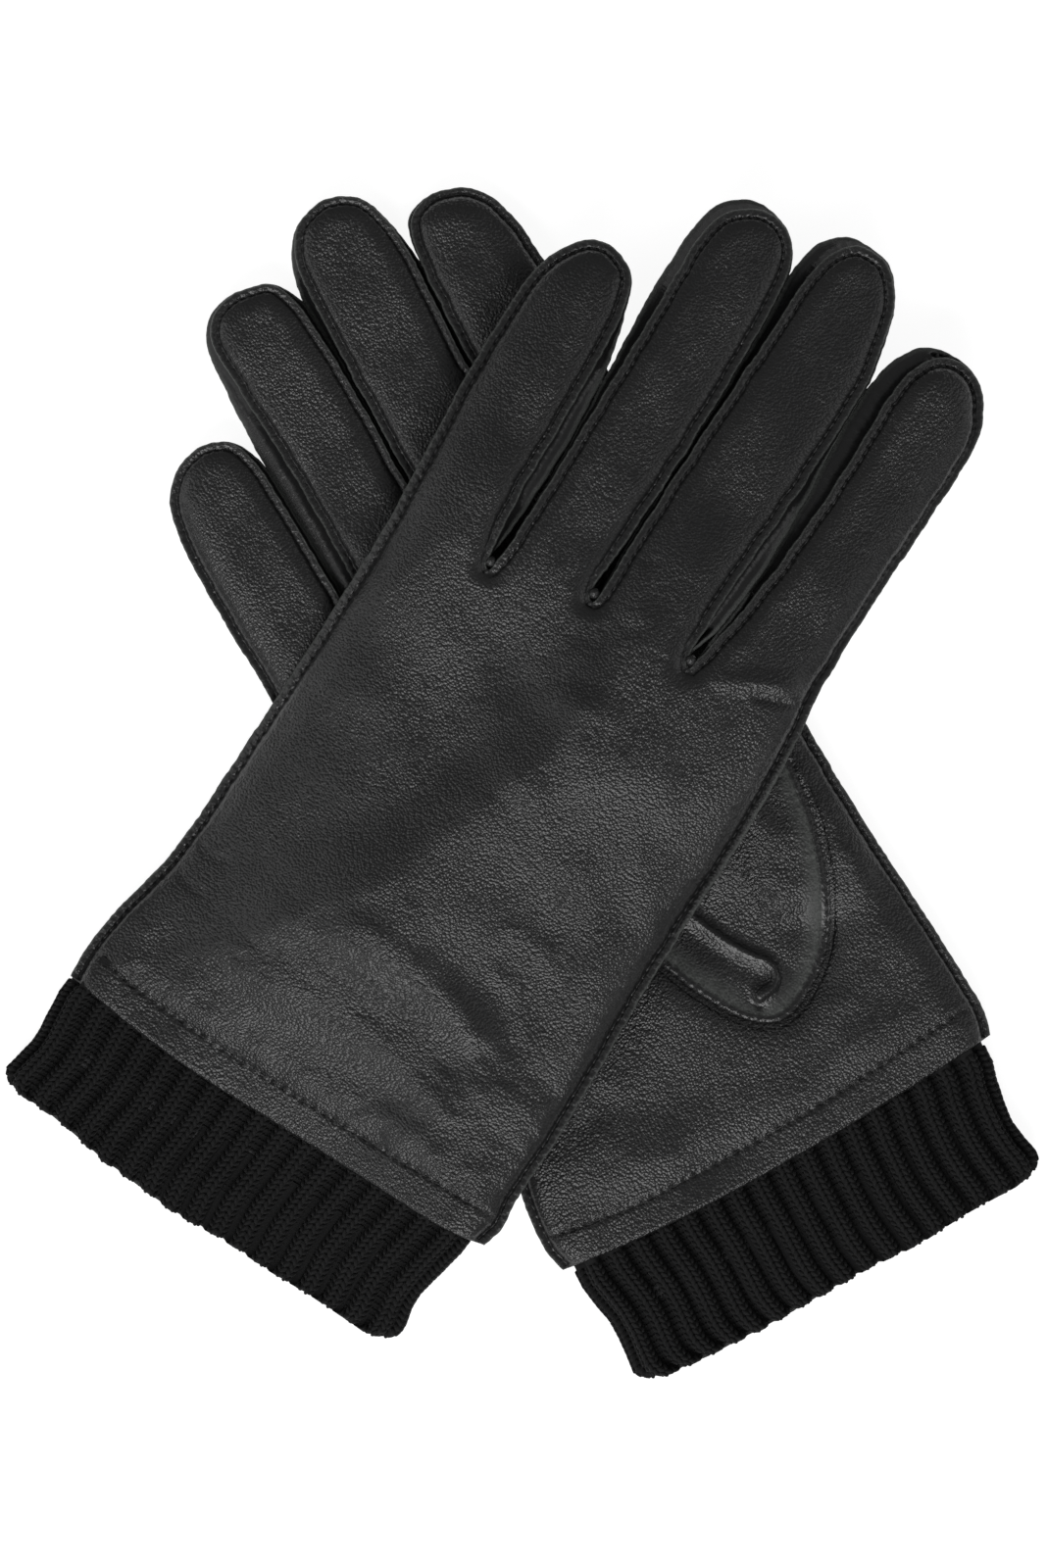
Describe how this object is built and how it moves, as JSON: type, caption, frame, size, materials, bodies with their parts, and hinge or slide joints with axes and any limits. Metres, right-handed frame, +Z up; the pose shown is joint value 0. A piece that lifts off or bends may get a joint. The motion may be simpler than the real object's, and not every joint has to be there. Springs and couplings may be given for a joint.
{
  "type": "pair of leather gloves",
  "caption": "Men's black leather dress gloves with knitted wrist cuffs, laid crossed: one back up over the other palm up, with stitched fingers and tucked thumbs.",
  "frame": {"origin": "under the middle of the pair's box, on the surface that it lies on", "axes": "+Z up, away from the surface; +Y between the two gloves' fingers, along the longest side; +X to the side where the left glove's fingers lie"},
  "size_m": [0.2324, 0.2696, 0.0296],
  "materials": {
    "leather": "soft semi-gloss fine grain",
    "knit": "matt rib knit",
    "lining": "matt brushed knit",
    "thread": "twisted thread"
  },
  "bodies": {
    "right_hand": {"right_palm_panel": "leather", "right_back_panel": "leather", "right_hand_lining": "lining", "right_hem_facing": "leather", "right_knit_cuff": "knit", "right_hem_thread": "thread", "right_thumb_gusset": "leather"},
    "right_thumb": {"right_thumb": "leather", "right_thumb_lining": "lining"},
    "right_little_finger": {"right_little_palm": "leather", "right_little_back": "leather", "right_little_lining": "lining", "right_little_fourchette_to_ring": "leather"},
    "right_ring_finger": {"right_ring_palm": "leather", "right_ring_back": "leather", "right_ring_lining": "lining", "right_ring_fourchette_to_little": "leather", "right_ring_fourchette_to_middle": "leather"},
    "right_middle_finger": {"right_middle_palm": "leather", "right_middle_back": "leather", "right_middle_lining": "lining", "right_middle_fourchette_to_ring": "leather", "right_middle_fourchette_to_index": "leather"},
    "right_index_finger": {"right_index_palm": "leather", "right_index_back": "leather", "right_index_lining": "lining", "right_index_fourchette_to_middle": "leather"},
    "left_hand": {"left_back_panel": "leather", "left_palm_panel": "leather", "left_hand_lining": "lining", "left_hem_facing": "leather", "left_knit_cuff": "knit", "left_hem_thread": "thread", "left_thumb_gusset": "leather"},
    "left_thumb": {"left_thumb": "leather", "left_thumb_lining": "lining"},
    "left_little_finger": {"left_little_back": "leather", "left_little_palm": "leather", "left_little_lining": "lining", "left_little_fourchette_to_ring": "leather"},
    "left_ring_finger": {"left_ring_back": "leather", "left_ring_palm": "leather", "left_ring_lining": "lining", "left_ring_fourchette_to_little": "leather", "left_ring_fourchette_to_middle": "leather"},
    "left_middle_finger": {"left_middle_back": "leather", "left_middle_palm": "leather", "left_middle_lining": "lining", "left_middle_fourchette_to_ring": "leather", "left_middle_fourchette_to_index": "leather"},
    "left_index_finger": {"left_index_back": "leather", "left_index_palm": "leather", "left_index_lining": "lining", "left_index_fourchette_to_middle": "leather"}
  },
  "joints": [
    {"name": "left_glove_lift", "type": "slide", "parent": "right_hand", "child": "left_hand", "axis": [0, 0, 1], "range_m": [0, 0.08]},
    {"name": "right_little_fold", "type": "hinge", "parent": "right_hand", "child": "right_little_finger", "pos_m": [-0.05379, 0.03812, 0.011], "axis": [0.8738, 0.4863, 0], "range_deg": [0, 90]},
    {"name": "right_ring_fold", "type": "hinge", "parent": "right_hand", "child": "right_ring_finger", "pos_m": [-0.03778, 0.06191, 0.011], "axis": [0.8738, 0.4863, 0], "range_deg": [0, 90]},
    {"name": "right_middle_fold", "type": "hinge", "parent": "right_hand", "child": "right_middle_finger", "pos_m": [-0.02312, 0.08838, 0.011], "axis": [0.8738, 0.4863, 0], "range_deg": [0, 90]},
    {"name": "right_index_fold", "type": "hinge", "parent": "right_hand", "child": "right_index_finger", "pos_m": [-0.0076, 0.11418, 0.011], "axis": [0.8738, 0.4863, 0], "range_deg": [0, 90]},
    {"name": "left_little_fold", "type": "hinge", "parent": "left_hand", "child": "left_little_finger", "pos_m": [-0.01612, 0.05877, 0.0296], "axis": [0.8425, -0.5388, 0], "range_deg": [0, 75]},
    {"name": "left_ring_fold", "type": "hinge", "parent": "left_hand", "child": "left_ring_finger", "pos_m": [0.00826, 0.05029, 0.0296], "axis": [0.8425, -0.5388, 0], "range_deg": [0, 75]},
    {"name": "left_middle_fold", "type": "hinge", "parent": "left_hand", "child": "left_middle_finger", "pos_m": [0.02871, 0.03722, 0.0296], "axis": [0.8425, -0.5388, 0], "range_deg": [0, 75]},
    {"name": "left_index_fold", "type": "hinge", "parent": "left_hand", "child": "left_index_finger", "pos_m": [0.0523, 0.02213, 0.0296], "axis": [0.8425, -0.5388, 0], "range_deg": [0, 75]},
    {"name": "right_thumb_swing", "type": "hinge", "parent": "right_hand", "child": "right_thumb", "pos_m": [0.055, -0.02934, 0.0148], "axis": [0, 0, -1], "range_deg": [0, 7]},
    {"name": "left_thumb_swing", "type": "hinge", "parent": "left_hand", "child": "left_thumb", "pos_m": [-0.00479, -0.04564, 0.0148], "axis": [0, 0, 1], "range_deg": [0, 7]}
  ]
}
